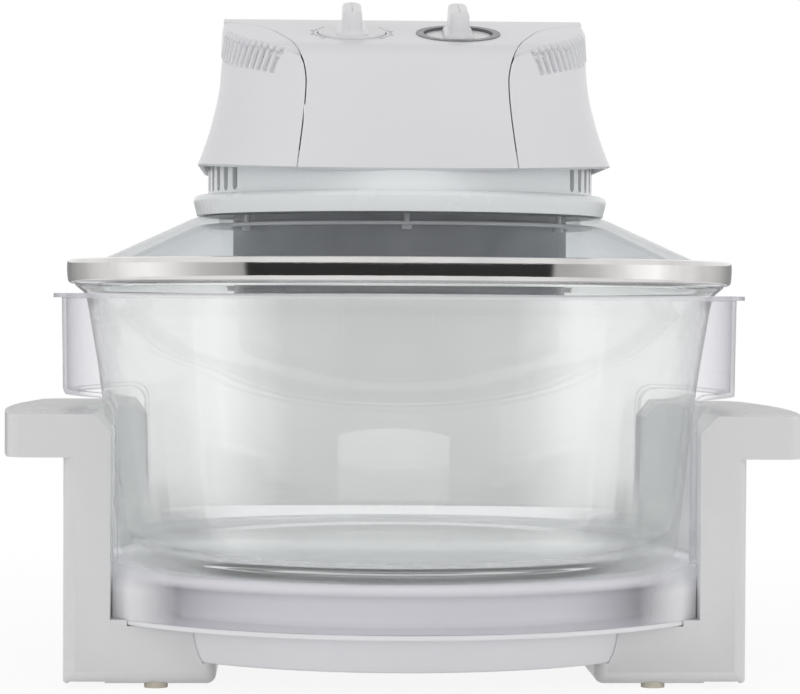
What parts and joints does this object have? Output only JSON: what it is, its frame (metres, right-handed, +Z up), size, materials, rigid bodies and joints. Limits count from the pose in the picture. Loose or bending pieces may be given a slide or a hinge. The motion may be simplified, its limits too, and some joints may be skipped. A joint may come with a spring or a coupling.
{
  "type": "halogen oven",
  "caption": "Round halogen oven: a clear bowl in a clear shell on a white base with handle legs, under a hinged glass lid whose plastic head holds the ring lamp, fan and dials.",
  "frame": {"origin": "on the surface the feet stand on, at the centre of the oven's box, which is 2 mm in front of it because of the hinge, and on the bowl's axis", "axes": "+Z up along the bowl's axis, -Y the front with the dials, +X to the right of someone who faces the front"},
  "size_m": [0.386, 0.3469, 0.3241],
  "materials": {
    "white_plastic": "moulded plastic with a soft sheen",
    "clear_plastic": "clear polycarbonate",
    "bowl_glass": "clear pressed glass",
    "lid_glass": "clear toughened glass",
    "chrome": "polished steel band",
    "tan_rubber": "soft rubber",
    "seal": "silicone",
    "grey_plastic": "satin",
    "black_plastic": "satin",
    "control_case": "satin",
    "screw_steel": "zinc plated",
    "bright_steel": "ground",
    "drum_steel": "dark blue-grey sheet",
    "sheet_steel": "plain sheet",
    "reflector_sheet": "bright",
    "fibre": "pressed fibre",
    "ceramic": "unglazed",
    "lamp_glass": "quartz",
    "filament": "coiled wire",
    "bronze": "sintered",
    "bulb_copper": "copper capillary"
  },
  "bodies": {
    "base": {"base_housing": "white_plastic", "bottom_cover": "white_plastic", "left_leg": "white_plastic", "right_leg": "white_plastic", "left_handle_cover": "white_plastic", "right_handle_cover": "white_plastic", "rubber_feet": "tan_rubber", "base_screws": "screw_steel", "handle_screws": "screw_steel", "outer_shell": "clear_plastic", "glass_bowl": "bowl_glass", "hinge_post": "clear_plastic", "post_screws": "screw_steel", "hinge_pin": "bright_steel"},
    "lid": {"hinge_arm": "white_plastic", "arm_screws": "screw_steel", "lid_glass": "lid_glass", "lid_rim_band": "chrome", "lid_gasket": "seal", "hub_gasket": "seal", "clamp_ring": "sheet_steel", "clamp_screws": "screw_steel", "head_base": "white_plastic", "head_cover": "white_plastic", "right_cheek": "white_plastic", "left_cheek": "white_plastic", "cover_screws": "screw_steel", "cord_inlet_gland": "black_plastic", "timer_bezel": "grey_plastic", "timer_unit": "control_case", "thermostat_unit": "control_case", "insulation_disc": "fibre", "heat_shield": "sheet_steel", "heater_drum": "drum_steel", "reflector": "reflector_sheet", "heater_screws": "screw_steel", "halogen_tube": "lamp_glass", "lamp_filament": "filament", "lamp_holders": "ceramic", "lamp_clips": "bright_steel", "guard_grille": "bright_steel", "sensor_bulb": "bulb_copper", "motor_bracket": "sheet_steel", "fan_motor": "sheet_steel", "shaft_bushes": "bronze", "tilt_switch": "black_plastic", "thermal_cutout": "sheet_steel", "terminal_block": "control_case"},
    "fan": {"motor_shaft": "bright_steel", "cooling_fan": "reflector_sheet", "convection_fan": "reflector_sheet", "fan_nut": "screw_steel"},
    "timer_dial": {"timer_knob": "white_plastic", "timer_shaft": "bright_steel"},
    "thermostat_dial": {"thermostat_knob": "white_plastic", "thermostat_shaft": "bright_steel"}
  },
  "joints": [
    {"name": "lid_hinge", "type": "hinge", "parent": "base", "child": "lid", "pos_m": [0, 0.1705, 0.197], "axis": [-1, 0, 0], "range_deg": [0, 75]},
    {"name": "fan_spin", "type": "hinge", "parent": "lid", "child": "fan", "pos_m": [0, 0, 0.21], "axis": [0, 0, 1], "continuous": true},
    {"name": "timer_turn", "type": "hinge", "parent": "lid", "child": "timer_dial", "pos_m": [0.0255, -0.05532, 0.30831], "axis": [0, 0.2756, -0.9613], "range_deg": [0, 300]},
    {"name": "thermostat_turn", "type": "hinge", "parent": "lid", "child": "thermostat_dial", "pos_m": [-0.0255, -0.05532, 0.30831], "axis": [0, 0.2756, -0.9613], "range_deg": [0, 270]}
  ]
}
